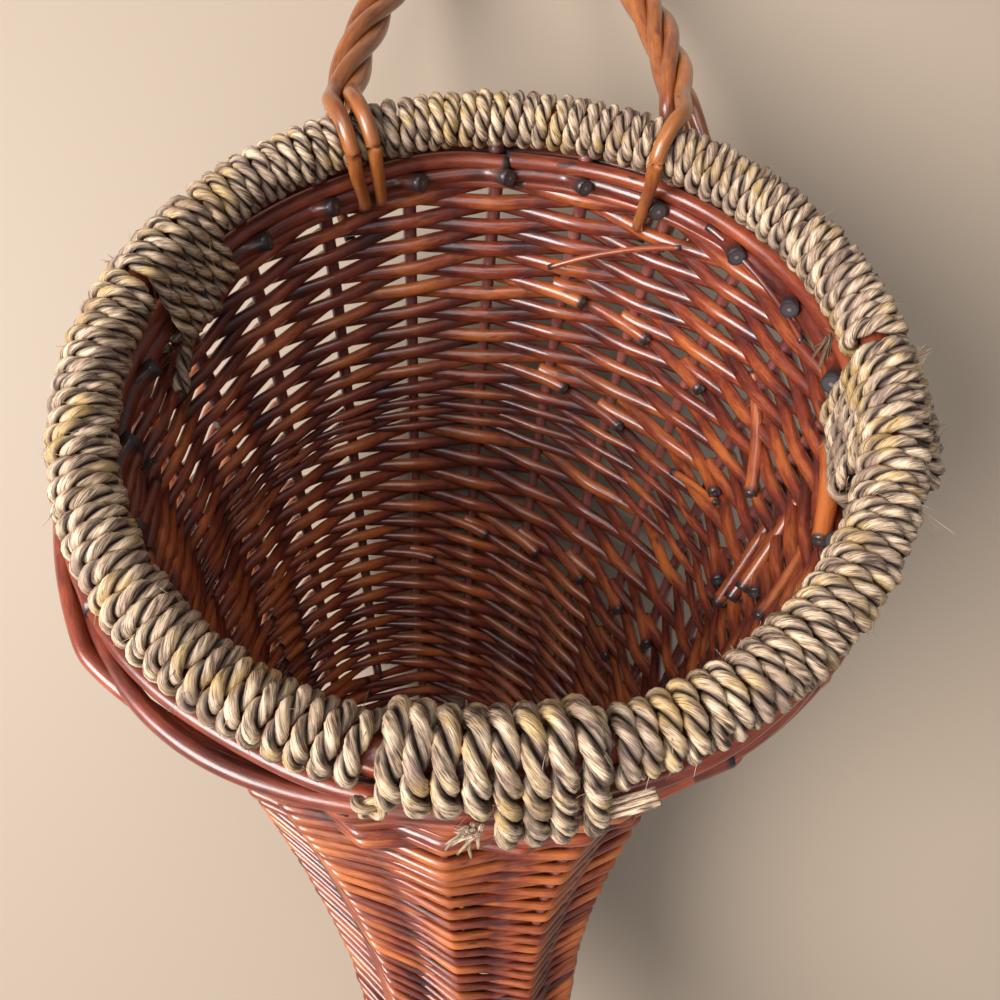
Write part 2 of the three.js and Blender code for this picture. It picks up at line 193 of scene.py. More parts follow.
def rodTube(path, up, wide, high, sides, tone, ends=(0, 0), ridges=None, creaseShade=0, shade=0):
    # ring i, side j: path[i] + wide cos(a) side + high sin(a) up, with side and up square to the path.
    # ridges = (count, depth, turns) makes the radius 1 + depth cos(count a + turns i).
    # dark is the most of three: 1 at a dark cut end, falling to 0 over the end's length, then a painted
    # shade, (0.4 - sin a) times its strength, which grows below the rod, and shade, which the weavers use for
    # painted shade at their crossings and the tufts for their darkness
    side, up = squareTo(path, up)
    angle = 2 * np.pi * np.arange(sides) / sides
    swell = np.ones((len(path), sides))
    if ridges:
        count, depth, turns = ridges
        swell = 1 + depth * np.cos(count * angle[None, :] + turns[:, None])
    wide, high = (np.broadcast_to(size, len(path))[:, None, None] for size in (wide, high))
    points = (
        path[:, None]
        + wide * (swell * np.cos(angle))[..., None] * side[:, None]
        + high * (swell * np.sin(angle))[..., None] * up[:, None]
    )
    along = lengthAlong(path)
    nearEnd = np.maximum(endShade(along, ends[0]), endShade(along[-1] - along, ends[1]))
    # painted shade: darker on the rod's underside
    below = np.clip(creaseShade * (0.4 - np.sin(angle)), 0, 1)
    dark = np.maximum(np.maximum(nearEnd[:, None], below[None, :]), np.reshape(shade, (-1, 1)))
    return {"points": points, "along": along, "tone": tone, "dark": dark}


def linked(name, data):
    # a new object in the scene, at the origin
    made = bpy.data.objects.new(name, data)
    bpy.context.scene.collection.objects.link(made)
    return made


def fill(data, attribute, values, kind=np.float32):
    # all values at once into a mesh's attribute
    data.foreach_set(attribute, np.asarray(values).astype(kind).ravel())


def rodMesh(part, rods, finish, replaces=True):
    # one mesh of many tubes with flat ends, which may replace the solid called part
    points, quads, caps, quadUv, capUv, tones = [], [], [], [], [], []
    first = 0
    for rod in rods:
        rings, sides = rod["points"].shape[:2]
        points.append(rod["points"].reshape(-1, 3))
        index = first + np.arange(rings * sides).reshape(rings, sides)
        nextSide = np.roll(index, -1, 1)
        quads.append(np.stack([index[:-1], index[1:], nextSide[1:], nextSide[:-1]], -1).reshape(-1, 4))
        u = np.broadcast_to(np.arange(sides) / sides, (rings - 1, sides))
        v = np.repeat(rod["along"][:, None] * rodUv["perMillimetre"], sides, 1)
        low, high = v[:-1], v[1:]
        corners = [(u, low), (u, high), (u + 1 / sides, high), (u + 1 / sides, low)]
        quadUv.append(np.stack([np.stack(c, -1) for c in corners], -2).reshape(-1, 2))
        caps += [index[0], index[-1][::-1]]
        turn = 2 * np.pi * np.arange(sides) / sides
        face = rodUv["pith"] + rodUv["face"] * np.stack([np.cos(turn), np.sin(turn)], -1)
        capUv += [face, face[::-1]]
        tone = np.ones((rings, sides, 4))
        tone[..., 0], tone[..., 1] = rod["tone"]
        tone[..., 2] = rod["dark"]
        tones.append(tone.reshape(-1, 4))
        first += rings * sides
    quads = np.concatenate(quads)
    corners = np.concatenate([quads.ravel(), *caps])
    sizes = np.concatenate([np.full(len(quads), 4), [len(cap) for cap in caps]])
    slot = finishes[finish]["slot"]
    mesh = bpy.data.meshes.new(f"{slot.split('_')[-1]}_{part}")  # willow or seagrass
    mesh.vertices.add(first)
    mesh.loops.add(len(corners))
    mesh.polygons.add(len(sizes))
    fill(mesh.vertices, "co", toRow(np.concatenate(points)))
    fill(mesh.loops, "vertex_index", corners, np.int32)
    fill(mesh.polygons, "loop_start", np.cumsum(sizes) - sizes, np.int32)
    mesh.update(calc_edges=True)
    fill(mesh.polygons, "use_smooth", np.arange(len(sizes)) < len(quads), bool)
    fill(mesh.uv_layers.new(name="rodUv").data, "uv", np.concatenate(quadUv + capUv))
    tint = mesh.color_attributes.new("rodTone", "FLOAT_COLOR", "POINT")
    fill(tint.data, "color", np.concatenate(tones))
    mesh.validate()
    mesh.materials.append(materials[finish])
    piece = linked(mesh.name, mesh)
    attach(piece, "root")
    if replaces:
        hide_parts(part)


def newTone(low=0, high=1):
    # how pale the rod is, and its own number
    return draw.uniform(low, high), draw.uniform(0, 1)


def nodeGroup(name, colours, values, made):
    # a group that is fed these colours and values; made(tree, fed) is its colour, roughness and height
    tree = bpy.data.node_groups.new(name, "ShaderNodeTree")
    sockets = (
        ("INPUT", "Color", colours), ("INPUT", "Float", values),
        ("OUTPUT", "Color", ["Colour"]), ("OUTPUT", "Float", ["Roughness", "Height"]),
    )
    for way, kind, labels in sockets:
        for label in labels:
            tree.interface.new_socket(label, in_out=way, socket_type="NodeSocket" + kind)
    fed = tree.nodes.new("NodeGroupInput").outputs
    feed(tree.nodes.new("NodeGroupOutput"), dict(enumerate(made(tree, fed))))
    return tree


def feed(node, sockets):
    # each of the node's inputs is linked to a socket or set to a value
    for key, value in sockets.items():
        if isinstance(value, bpy.types.NodeSocket):
            node.id_data.links.new(value, node.inputs[key])
        else:
            node.inputs[key].default_value = value


def addNode(tree, kind, settings=None, sockets=None):
    # a node with these settings, and its inputs fed
    node = tree.nodes.new(kind)
    for key, value in (settings or {}).items():
        setattr(node, key, value)
    feed(node, sockets or {})
    return node


def maths(tree, operation, a, b=0, c=0, clamp=False):
    # the operation on a and b, or on a, b and c
    settings = {"operation": operation, "use_clamp": clamp}
    return addNode(tree, "ShaderNodeMath", settings, {0: a, 1: b, 2: c}).outputs[0]


def remap(tree, value, low, high, toLow=0, toHigh=1):
    # toLow + (toHigh - toLow) (value - low) / (high - low), kept between the two
    sockets = {"Value": value, "From Min": low, "From Max": high, "To Min": toLow, "To Max": toHigh}
    return addNode(tree, "ShaderNodeMapRange", {"clamp": True}, sockets).outputs["Result"]


def mixed(tree, share, a, b):
    # a where share is 0, b where it is 1
    settings = {"data_type": "RGBA", "clamp_factor": True}
    return addNode(tree, "ShaderNodeMix", settings, {"Factor": share, 6: a, 7: b}).outputs[2]


def speckle(tree, vector, scale, detail, roughness):
    # a noise between 0 and 1, mostly near 0.5
    sockets = {"Vector": vector, "Scale": scale, "Detail": detail, "Roughness": roughness}
    return addNode(tree, "ShaderNodeTexNoise", {}, sockets).outputs["Fac"]


def uvOf(tree):
    # the rods' own UV map: round the section, and along
    return addNode(tree, "ShaderNodeUVMap", {"uv_map": "rodUv"}).outputs["UV"]


def tonesOf(tree):
    # red: pale or dark, for the weavers also a painted highlight where they stand out and painted shade
    # towards their crossings, green: the rod's own number, blue: dark cut ends, painted shade below the rope
    # plies and at the weavers' crossings, and the tufts' darkness
    tone = addNode(tree, "ShaderNodeAttribute", {"attribute_name": "rodTone"}).outputs["Color"]
    return addNode(tree, "ShaderNodeSeparateColor", {}, {0: tone}).outputs


def rodSpace(tree, stretch):
    # a place round the rod's section: cos, sin and length, far from other rods' places
    parts = addNode(tree, "ShaderNodeSeparateXYZ", {}, {0: uvOf(tree)}).outputs
    turn = maths(tree, "MULTIPLY", parts["X"], 2 * np.pi)
    length = maths(tree, "MULTIPLY", parts["Y"], stretch)
    away = maths(tree, "MULTIPLY_ADD", tonesOf(tree)["Green"], 57, length)
    sockets = {"X": maths(tree, "COSINE", turn), "Y": maths(tree, "SINE", turn), "Z": away}
    return addNode(tree, "ShaderNodeCombineXYZ", {}, sockets).outputs[0]


def stainedBark(tree, fed):
    # streaks along the rod, patches of thin and thick stain, dark leaf scars and dark cut ends, with the
    # painted highlight and painted shade that the weavers' tones carry
    space, closeSpace = rodSpace(tree, 1), rodSpace(tree, 0.5)
    tones = tonesOf(tree)
    place = addNode(tree, "ShaderNodeTexCoord").outputs["Object"]
    streaks = speckle(tree, closeSpace, 3.8, 4, 0.68)
    patches = speckle(tree, space, 0.55, 3, 0.55)
    stain = speckle(tree, place, 16, 3, 0.6)
    # the share of thin stain: the rod's tone (for the weavers partly a painted highlight and painted shade),
    # its patches and its streaks
    share = maths(tree, "MULTIPLY_ADD", tones["Red"], 0.66, remap(tree, patches, 0.3, 0.7, 0, 0.5))
    share = maths(tree, "ADD", share, remap(tree, streaks, 0.28, 0.72, -0.06, 0.36))
    share = maths(tree, "SUBTRACT", share, fed["Darken"])
    upper = mixed(tree, remap(tree, share, 0.62, 1.15), fed["Middle"], fed["Pale"])
    colour = mixed(tree, remap(tree, share, 0.12, 0.62), fed["Deep"], upper)
    colour = mixed(tree, remap(tree, stain, 0.5, 0.78, 0, 0.55), colour, fed["Deep"])
    scars = speckle(tree, space, 0.9, 1, 0.3)
    scarMask = maths(tree, "MULTIPLY", remap(tree, scars, 0.70, 0.78), fed["Scars"])
    colour = mixed(tree, scarMask, colour, (0.012, 0.008, 0.009, 1))
    # near black at dark cut ends, and as painted shade, partly stain, where the weavers go behind their
    # neighbours
    endAndShadeMask = remap(tree, maths(tree, "MULTIPLY_ADD", streaks, 0.25, tones["Blue"]), 0.35, 0.8)
    colour = mixed(tree, maths(tree, "MULTIPLY", endAndShadeMask, 0.93), colour, (0.014, 0.011, 0.013, 1))
    # cut faces: a pale pith, grey wood and a dark rim
    sockets = {0: uvOf(tree), 1: (*rodUv["pith"], 0)}
    fromPith = addNode(tree, "ShaderNodeVectorMath", {"operation": "DISTANCE"}, sockets).outputs["Value"]
    wood = remap(tree, fromPith, 0.07, 0.13)
    face = mixed(tree, wood, (0.20, 0.15, 0.12, 1), (0.05, 0.042, 0.045, 1))
    face = mixed(tree, remap(tree, fromPith, 0.34, 0.46), face, (0.015, 0.012, 0.013, 1))
    colour = mixed(tree, remap(tree, fromPith, 0.6, 0.55), colour, face)
    rough = remap(tree, stain, 0.35, 0.7, 0.26, 0.42)
    rough = maths(tree, "MULTIPLY_ADD", maths(tree, "ADD", scarMask, endAndShadeMask), 0.3, rough, True)
    height = maths(tree, "MULTIPLY_ADD", streaks, 0.6, maths(tree, "MULTIPLY", scarMask, 0.8))
    return colour, rough, height


def twistedGrass(tree, fed):
    # fine streaks along the ply, pale and deep lengths, yellow and mauve spots, dark lines, and painted shade
    # below each ply
    fibres, lengths = rodSpace(tree, 0.35), rodSpace(tree, 1.6)
    place = addNode(tree, "ShaderNodeTexCoord").outputs["Object"]
    fine = speckle(tree, fibres, 7.5, 3, 0.6)
    broad = maths(tree, "MULTIPLY", speckle(tree, lengths, 1, 2, 0.5), 0.8)
    share = maths(tree, "MULTIPLY_ADD", fine, 0.5, broad)
    colour = mixed(tree, remap(tree, share, 0.46, 0.60), fed["Deep"], fed["Straw"])
    colour = mixed(tree, remap(tree, share, 0.56, 0.76), colour, fed["Pale"])
    yellow = speckle(tree, place, 75, 2, 0.5)
    colour = mixed(tree, remap(tree, yellow, 0.52, 0.66, 0, 0.62), colour, (0.56, 0.36, 0.11, 1))
    mauve = speckle(tree, place, 62, 1, 0.4)
    colour = mixed(tree, remap(tree, mauve, 0.53, 0.66, 0, 0.65), colour, (0.24, 0.155, 0.125, 1))
    lines = remap(tree, speckle(tree, fibres, 9, 1, 0.4), 0.45, 0.37, 0, 0.7)
    colour = mixed(tree, lines, colour, fed["Deep"])
    # painted shade on each ply's side towards the rope's middle, and the darker tufts
    colour = mixed(tree, maths(tree, "MULTIPLY", tonesOf(tree)["Blue"], 0.93), colour, fed["Deep"])
    rough = remap(tree, fine, 0.3, 0.7, 0.62, 0.42)
    return colour, rough, fine


finishes = {  # gloss: the coat, its roughness and the specular level
    "weaverWillow": {
        "Pale": (0.53, 0.145, 0.034, 1), "Middle": (0.215, 0.037, 0.017, 1), "Deep": (0.032, 0.008, 0.009, 1),
        "Darken": 0.04, "Scars": 0.7, "bump": 0.3, "gloss": (0.75, 0.2, 0.5), "slot": "weave_willow",
    },
    "stakeWillow": {
        "Pale": (0.30, 0.095, 0.07, 1), "Middle": (0.15, 0.042, 0.036, 1), "Deep": (0.04, 0.012, 0.013, 1),
        "Darken": 0.05, "Scars": 0.4, "bump": 0.25, "gloss": (0.3, 0.3, 0.5), "slot": "stake_willow",
    },
    "borderWillow": {
        "Pale": (0.38, 0.080, 0.030, 1), "Middle": (0.18, 0.032, 0.016, 1), "Deep": (0.036, 0.009, 0.008, 1),
        "Darken": 0.06, "Scars": 0.8, "bump": 0.3, "gloss": (0.6, 0.22, 0.5), "slot": "border_willow",
    },
    "handleWillow": {
        "Pale": (0.40, 0.13, 0.030, 1), "Middle": (0.19, 0.045, 0.016, 1), "Deep": (0.035, 0.010, 0.009, 1),
        "Darken": -0.05, "Scars": 0.7, "bump": 0.25, "gloss": (0.6, 0.18, 0.5), "slot": "handle_willow",
    },
    "seagrassRope": {
        "Pale": (0.80, 0.605, 0.415, 1), "Straw": (0.30, 0.192, 0.122, 1), "Deep": (0.028, 0.015, 0.014, 1),
        "bump": 0.5, "gloss": (0, 0.3, 0.35), "slot": "seagrass",
    },
}
bumpHeight = 0.0006


def finishOf(name, look):
    # colours and values go to the group by name, gloss and bump to the shader itself
    material = bpy.data.materials.new(name)
    material.use_nodes = True
    tree = material.node_tree
    group = grassGroup if look["slot"] == "seagrass" else barkGroup
    made = addNode(tree, "ShaderNodeGroup", {"node_tree": group})
    feed(made, {socket.name: look[socket.name] for socket in made.inputs})
    colour, rough, height = made.outputs
    sockets = {"Strength": look["bump"], "Distance": bumpHeight, "Height": height}
    normal = addNode(tree, "ShaderNodeBump", {}, sockets).outputs["Normal"]
    shader = tree.nodes["Principled BSDF"]
    feed(shader, {"Base Color": colour, "Roughness": rough, "Normal": normal})
    feed(shader, dict(zip(("Coat Weight", "Coat Roughness", "Specular IOR Level"), look["gloss"])))
    return material


barkGroup = nodeGroup("stainedBark", ["Pale", "Middle", "Deep"], ["Darken", "Scars"], stainedBark)
grassGroup = nodeGroup("twistedGrass", ["Pale", "Straw", "Deep"], [], twistedGrass)
materials = {name: finishOf(name, look) for name, look in finishes.items()}
print("materials made")

stakes = {
    "top": 13, "width": [(13, 6.2), (110, 5.2), (200, 4.8), (300, 4.2), (520, 2.6)],
    "sides": 10, "mainSteps": 110, "bySteps": 50,
    "inset": 2.5,  # how far inside the wall's circle they stand, at the border and at a by-stake's end
    "past": (2, 6), "cut": 5,  # how far a by-stake runs past its last row, and its dark end
}
weave = {
    # rows on 22 stakes: from, to, row pitch and rod, in millimetres down the spine at the handle side
    "bands": [
        (33, 100, 3.55, 7), (100, 114, 2.3, 4.8), (114, 147, 4.1, 6.8),
        (147, 182, 2.9, 5.6), (182, 216, 2.35, 5),
    ],
    "byEnds": [(131, (10, 12)), (137, (6, 8)), (152, (14, 16)), (196, (2, 4)), (206, (18, 20)), (216, (0,))],
    "ahead": 80, "aside": 24,  # how far rows get ahead at the front and at the right
    "slimFront": 0.34, "slimLeft": 0.3, "slimRight": 0.14,  # rods are this share thinner there
    "taper": (1.06, 0.92),  # butt and tip
    "inReach": 0.58, "outReach": 0.85, "upperReach": -0.28,  # rod radii beside a stake, inside and outside
    "end": 476, "finePitch": 2.35, "tailPitch": 2, "fineRod": 4.9, "tailRod": 2.4,
    "jointReach": 0.34, "jointShows": 5.6,  # how far ends run past a stake, in spaces, and in degrees
    "cut": 4.5, "steps": 12, "sides": 10,
}
# cut ends that show on the inner wall: distance down the spine and angle
shownJoints = [
    (63, 23), (66, 44.5), (72, 61), (99, 63.5), (95, 24), (97, 40), (104, -22), (151, 7.5), (152, 26),
    (155, 35.5), (160, 52), (156, -17), (182, 50), (174, 75.5), (122, 93), (111, 100), (88, -68), (187, 75.5),
]


def stakeWidth(distance):
    # straight lines between the widths of the table
    return sampled(stakes["width"], distance)[0]


def rowPlace(back, angle):
    # rows stay nearly level with the mouth while the spine bends, so they get ahead at the front
    turn = np.radians(angle)
    ahead = weave["ahead"] * (eased(20, 190, back) - eased(235, 455, back))
    aside = weave["aside"] * (eased(70, 165, back) - eased(200, 330, back))
    return back + ahead * (1 - np.cos(turn)) / 2 + aside * np.sin(turn)


def plannedRows():
    # closed rows, with the stakes that each one meets and the side it takes there, counted from the back
    rows = []
    for low, high, pitch, width in weave["bands"]:
        for back in np.linspace(low, high, round((high - low) / pitch) + 1)[:-1] + pitch / 2:
            gone = [i for end, pair in weave["byEnds"] if back > end for i in pair]
            met = np.array([i for i in range(stakeCount) if i not in gone])
            order = np.arange(len(met))
            order = np.where(met <= stakeCount // 2, order, len(met) - order)
            side = np.where((order + len(rows)) % 2, -1, 1)
            rows.append(dict(back=back, pitch=pitch, width=width, met=met, side=side, joint=None))
    for distance, angle in shownJoints:
        stake = round((angle - weave["jointShows"]) / stakeAngle) % stakeCount
        free = [row for row in rows if row["joint"] is None and stake in row["met"][row["side"] < 0]]
        best = min(free, key=lambda row: abs(rowPlace(row["back"], stake * stakeAngle) - distance))
        best["joint"] = stake
    return rows


rows = plannedRows()


def addStakes():
    # each runs down the wall at its own angle, set in at the top, and a by-stake at its end too
    byEnd = {i: end for end, pair in weave["byEnds"] for i in pair}
    for i in range(stakeCount):
        isMain = i % 2 == 1
        angle = i * stakeAngle
        end = wall["length"] if isMain else rowPlace(byEnd[i], angle) + draw.uniform(*stakes["past"])
        distance = np.linspace(stakes["top"], end, stakes["mainSteps" if isMain else "bySteps"])
        inset = 1 - eased(22, 38, distance) + (0 if isMain else eased(end - 10, end, distance))
        path = wallPoint(distance, angle + wavy(distance, 0.08, 90), -stakes["inset"] * inset)
        half = stakeWidth(distance) * (1 + wavy(distance, 0.03, 40)) / 2
        normal = wallNormal(distance, angle)
        rod = rodTube(path, normal, half, half, stakes["sides"], newTone(0.1, 0.8), (0, stakes["cut"]))
        rodMesh(f"{'main' if isMain else 'by'}_stake_{i // 2 + 1:02d}", [rod], "stakeWillow")


addStakes()
print("stakes made")


def rodSlim(back, angle):
    # rods get thinner towards the front below the mouth, and at both sides in the upper wall
    turn = np.radians(angle)
    low = eased(95, 140, back)
    sides = np.where(np.sin(turn) < 0, weave["slimLeft"], weave["slimRight"])
    return 1 - weave["slimFront"] * low * (1 - np.cos(turn)) / 2 - sides * (1 - low) * np.abs(np.sin(turn))


def wovenRod(back, angle, side, rowPitch, width, tone):
    # corners beside the stakes, outside and inside by turns, joined by straight runs and eased a little.
    # Both ends lie inside: each runs on past its stake, nudged off its neighbour's end
    count = len(back)
    radius = width / 2 * rodSlim(back, angle) * blend(*weave["taper"], np.arange(count) / (count - 1))
    place = rowPlace(back, angle)
    step = np.diff(angle)
    near = np.radians(np.concatenate([step[:1], step]) + np.concatenate([step, step[-1:]])) / 4
    beside = blend(weave["inReach"], weave["outReach"], (side + 1) / 2)
    beside = beside + weave["upperReach"] * (1 - eased(90, 130, back))  # straighter in the upper wall
    reach = stakeWidth(place) / 2 + beside * radius
    lean = np.arctan(reach / (wallRadius(place) * np.sin(near))) + side * near
    offset = side * reach / np.cos(lean)
    offset[0] += 1.6
    offset[-1] -= 0.6
    # the row's corners, with one more at each end
    on = weave["jointReach"]
    begin = 0.4 * on
    at = np.concatenate([[-begin], np.arange(count), [count - 1 + on]])
    nudge = rowPitch * np.concatenate([[-0.3, -0.2], np.zeros(count - 2), [0.1, 0.3]])
    turned = np.concatenate([[angle[0] - begin * step[0]], angle, [angle[-1] + on * step[-1]]])
    backs = np.concatenate([[back[0]], back, [back[-1]]])
    offsets = np.concatenate([[offset[0] + 1], offset, [offset[-1] - 1.6]])
    corner = wallPoint(rowPlace(backs, turned) + nudge, turned, offsets)
    # points between them, closer near the stakes
    even = np.arange(1, weave["steps"] * (count - 1)) / weave["steps"]
    ends = np.linspace(0, 1, 6)
    fine = np.concatenate([-begin * ends[::-1], even - 0.1 * np.sin(2 * np.pi * even), count - 1 + on * ends])
    path = np.stack([np.interp(fine, at, corner[:, k]) for k in range(3)], -1)
    inside = np.interp(fine, np.arange(count), np.where(side < 0, 1, 0))
    path = relaxed(path, 9, blend(0.22, 1, inside))
    # the rod is flatter between stakes, where its neighbours leave less room
    fineBack, fineAngle = np.interp(fine, at, backs), np.interp(fine, at, turned)
    place = rowPlace(fineBack, fineAngle)
    gain = rowPlace(fineBack + 0.5, fineAngle) - rowPlace(fineBack - 0.5, fineAngle)
    radius = np.interp(fine, np.arange(count), radius)
    away = np.abs(fine - np.round(fine))  # 0 at a stake, 0.5 halfway
    share = eased(0.08, 0.34, away)
    pitch = rowPitch * gain * np.linalg.norm(wallDown(place, fineAngle), axis=-1)
    # partly wear, partly painted highlight where the rod stands out, and painted shade towards the crossings
    wearAndPaintedLight = tone[0] * 0.85 + 0.42 * (0.7 - eased(0.02, 0.42, away))  # paler where it stands out
    return rodTube(
        path, wallNormal(place, fineAngle), np.minimum(radius, pitch * blend(0.95, 0.56, share)),
        radius * blend(0.92, 0.86, share), weave["sides"], (wearAndPaintedLight[:, None], tone[1]), (0, weave["cut"]),
        # painted shade, partly stain: dark tips where the rod goes behind its neighbours
        shade=0.4 * eased(0.28, 0.5, away),
    )


def addRows():
    # each row is two rods: one joint is out of sight at the front, the other in a shown place or four
    # stakes on. A row goes to the piece that its middle lies in
    edges = list(43.9 + 9.9 * np.arange(8)) + [128, 172, 214]
    names = [f"mouth_weaver_{k + 1:02d}" for k in range(9)] + [f"horn_weaver_{k + 1:02d}" for k in range(3)]
    rods = {name: [] for name in names}
    for row in rows:
        met, side, count = row["met"], row["side"], len(row["met"])
        hidden = np.flatnonzero((side < 0) & (met * stakeAngle > 120) & (met * stakeAngle < 205))
        start = int(draw.choice(hidden))
        offset = 0
        if row["joint"] is not None:
            offset = (int(np.flatnonzero(met == row["joint"])[0]) - start) % count
        if offset < 2:
            offset = 4
        middle = (rowPlace(row["back"], 0) + rowPlace(row["back"], 180)) / 2
        name = names[np.searchsorted(edges, middle)]
        for first, last in ((start, start + offset), (start + offset, start + count)):
            turn = np.arange(first, last + 1)
            angle = met[turn % count] * stakeAngle + 360 * (turn // count)
            back = row["back"] + wavy(turn, 0.3, 5)
            width = row["width"] * draw.uniform(0.93, 1.05)
            rods[name].append(wovenRod(back, angle, side[turn % count], row["pitch"], width, newTone()))
    for name in names:
        rodMesh(name, rods[name], "weaverWillow")


addRows()
print("rows made")


def fineCrossings():
    # each crossing lies one eleventh of the spiral's pitch further down than the last one
    top = weave["bands"][-1][1]
    distances = [top - weave["finePitch"] * 0.4]
    while distances[-1] < weave["end"]:
        share = (distances[-1] - top) / (weave["end"] - top)
        pitch = blend(weave["finePitch"], weave["tailPitch"], share)
        distances.append(distances[-1] + 2 * pitch / stakeCount)
    return np.array(distances)


def addFineWeave():
    # one spiral on the 11 main stakes; each rod starts inside a stake, where the last one ended
    back = fineCrossings()
    inner = len(rows) % 2
    bounds = np.round(np.linspace(0, (len(back) - 4) / 2, 8)).astype(int) * 2 + inner
    for part in range(7):
        rods = []
        first, stop = bounds[part], bounds[part + 1]
        while first < stop:
            last = min(first + 2 * int(draw.integers(5, 9)), stop)
            if stop - last < 6:
                last = stop
            index = np.arange(first, last + 1)
            side = np.where((index + inner) % 2, 1, -1)
            share = float((back[index].mean() - back[0]) / (weave["end"] - back[0]))
            pitch = blend(weave["finePitch"], weave["tailPitch"], share)
            width = blend(weave["fineRod"], weave["tailRod"], share) * draw.uniform(0.92, 1.06)
            rods.append(wovenRod(back[index], (2 * index + 1) * stakeAngle, side, pitch, width, newTone()))
            first = last
        rodMesh(f"horn_weaver_{part + 4:02d}", rods, "weaverWillow")


addFineWeave()
print("fine weave made")

border = {
    "sides": 12, "rod": 5.8, "overlap": (5, 8),
    # angle, radius and height of the outer rods, as they show below the rope
    "high": [
        (-180, 131.8, -15), (-168, 132.2, -15), (-150, 133, -17), (-130, 136.5, -17), (-95, 135.2, -16),
        (-60, 136.5, -16), (0, 137, -16), (40, 136, -16), (90, 131, -14), (130, 131, -14), (150, 133, -15),
        (165, 132.5, -15), (180, 131.8, -15),
    ],
    "low": [
        (-180, 132.3, -20.6), (-168, 134, -21), (-160, 136.5, -22), (-150, 139.3, -22), (-137, 141, -22),
        (-125, 139.4, -22), (-95, 135.4, -23), (-60, 137, -23), (0, 137, -23), (40, 136, -22),
        (90, 131, -20), (130, 131, -20), (145, 134, -21), (160, 133, -21), (180, 132.3, -20.6),
    ],
    "loose": [
        (-165, 134, -28), (-150, 135.5, -27), (-140, 139, -25), (-134, 142, -23), (-128.5, 144.6, -21),
        (-122, 142.4, -20), (-113, 139.6, -19), (-98, 136, -19), (-80, 134.5, -24),
    ],
    "looseRod": 5.2,
    # long rods under the rope inside, from angle to angle
    "inner": {
        "radius": 124.4, "height": -18, "rod": 6.4, "spans": [(2, 118), (114, 236), (232, 362.5)],
    },
    # each stake's bent-over end lies on the next one and bends in where it is cut
    "bent": {
        "before": 4, "past": 1.5, "radius": 124.8, "height": -25, "rod": 7,
        "bend": (-6, 1.8), "cut": 9,
    },
    # thin weavers under the border: height, radius and the angles where one rod follows another
    "thin": [(-30.6, 125.8, (2, 131, 247)), (-30, 134.6, (70, 215, 320))],
    "thinRod": 4.3,
}


def ringPoint(angle, radius, height):
    # (radius sin a, radius cos a, height), with a from the handle side to +X
    turn = np.radians(angle)
    height = np.broadcast_to(height, np.shape(angle))
    return np.stack([radius * np.sin(turn), radius * np.cos(turn), height], -1)


def ringRod(angle, radius, height, width, tone, ends=(4, 4)):
    # a round rod along ringPoint, its half width (1 + wave) times width / 2
    path = ringPoint(angle, radius, height)
    half = width / 2 * (1 + wavy(angle, 0.025, 50))
    return rodTube(path, ringPoint(angle, 1, 0), half, half, border["sides"], tone, ends)


def addOuterBorder():
    # two rods to a ring; each runs past the next one's start and lies outside it there
    before, past = border["overlap"]
    for number, label, joint in ((1, "high", 60), (2, "low", 155)):
        rods = []
        for start in (joint, joint + 180):
            angle = np.linspace(start - before, start + 180 + past, 150)
            radius, height = sampled(border[label], (angle + 180) % 360 - 180)
            radius = radius + wavy(angle, 0.5, 37) + 1.6 * eased(start + 176, start + 188, angle)
            height = height + wavy(angle, 0.5, 43)
            half = border["rod"] / 2 * np.linspace(1.05, 0.88, len(angle))
            path, up = relaxed(ringPoint(angle, radius, height), 20), ringPoint(angle, 1, 0)
            rods.append(rodTube(path, up, half, half, border["sides"], newTone(0.3, 0.9), (4, 4)))
        rodMesh(f"border_rod_outer_{number}", rods, "borderWillow")
    angle = np.linspace(border["loose"][0][0], border["loose"][-1][0], 90)
    path = relaxed(ringPoint(angle, *sampled(border["loose"], angle)), 3)
    half = border["looseRod"] / 2
    rod = rodTube(path, ringPoint(angle, 1, 0), half, half, border["sides"], (0.75, 0.3), (4, 4))
    rodMesh("border_rod_loose", [rod], "borderWillow", False)


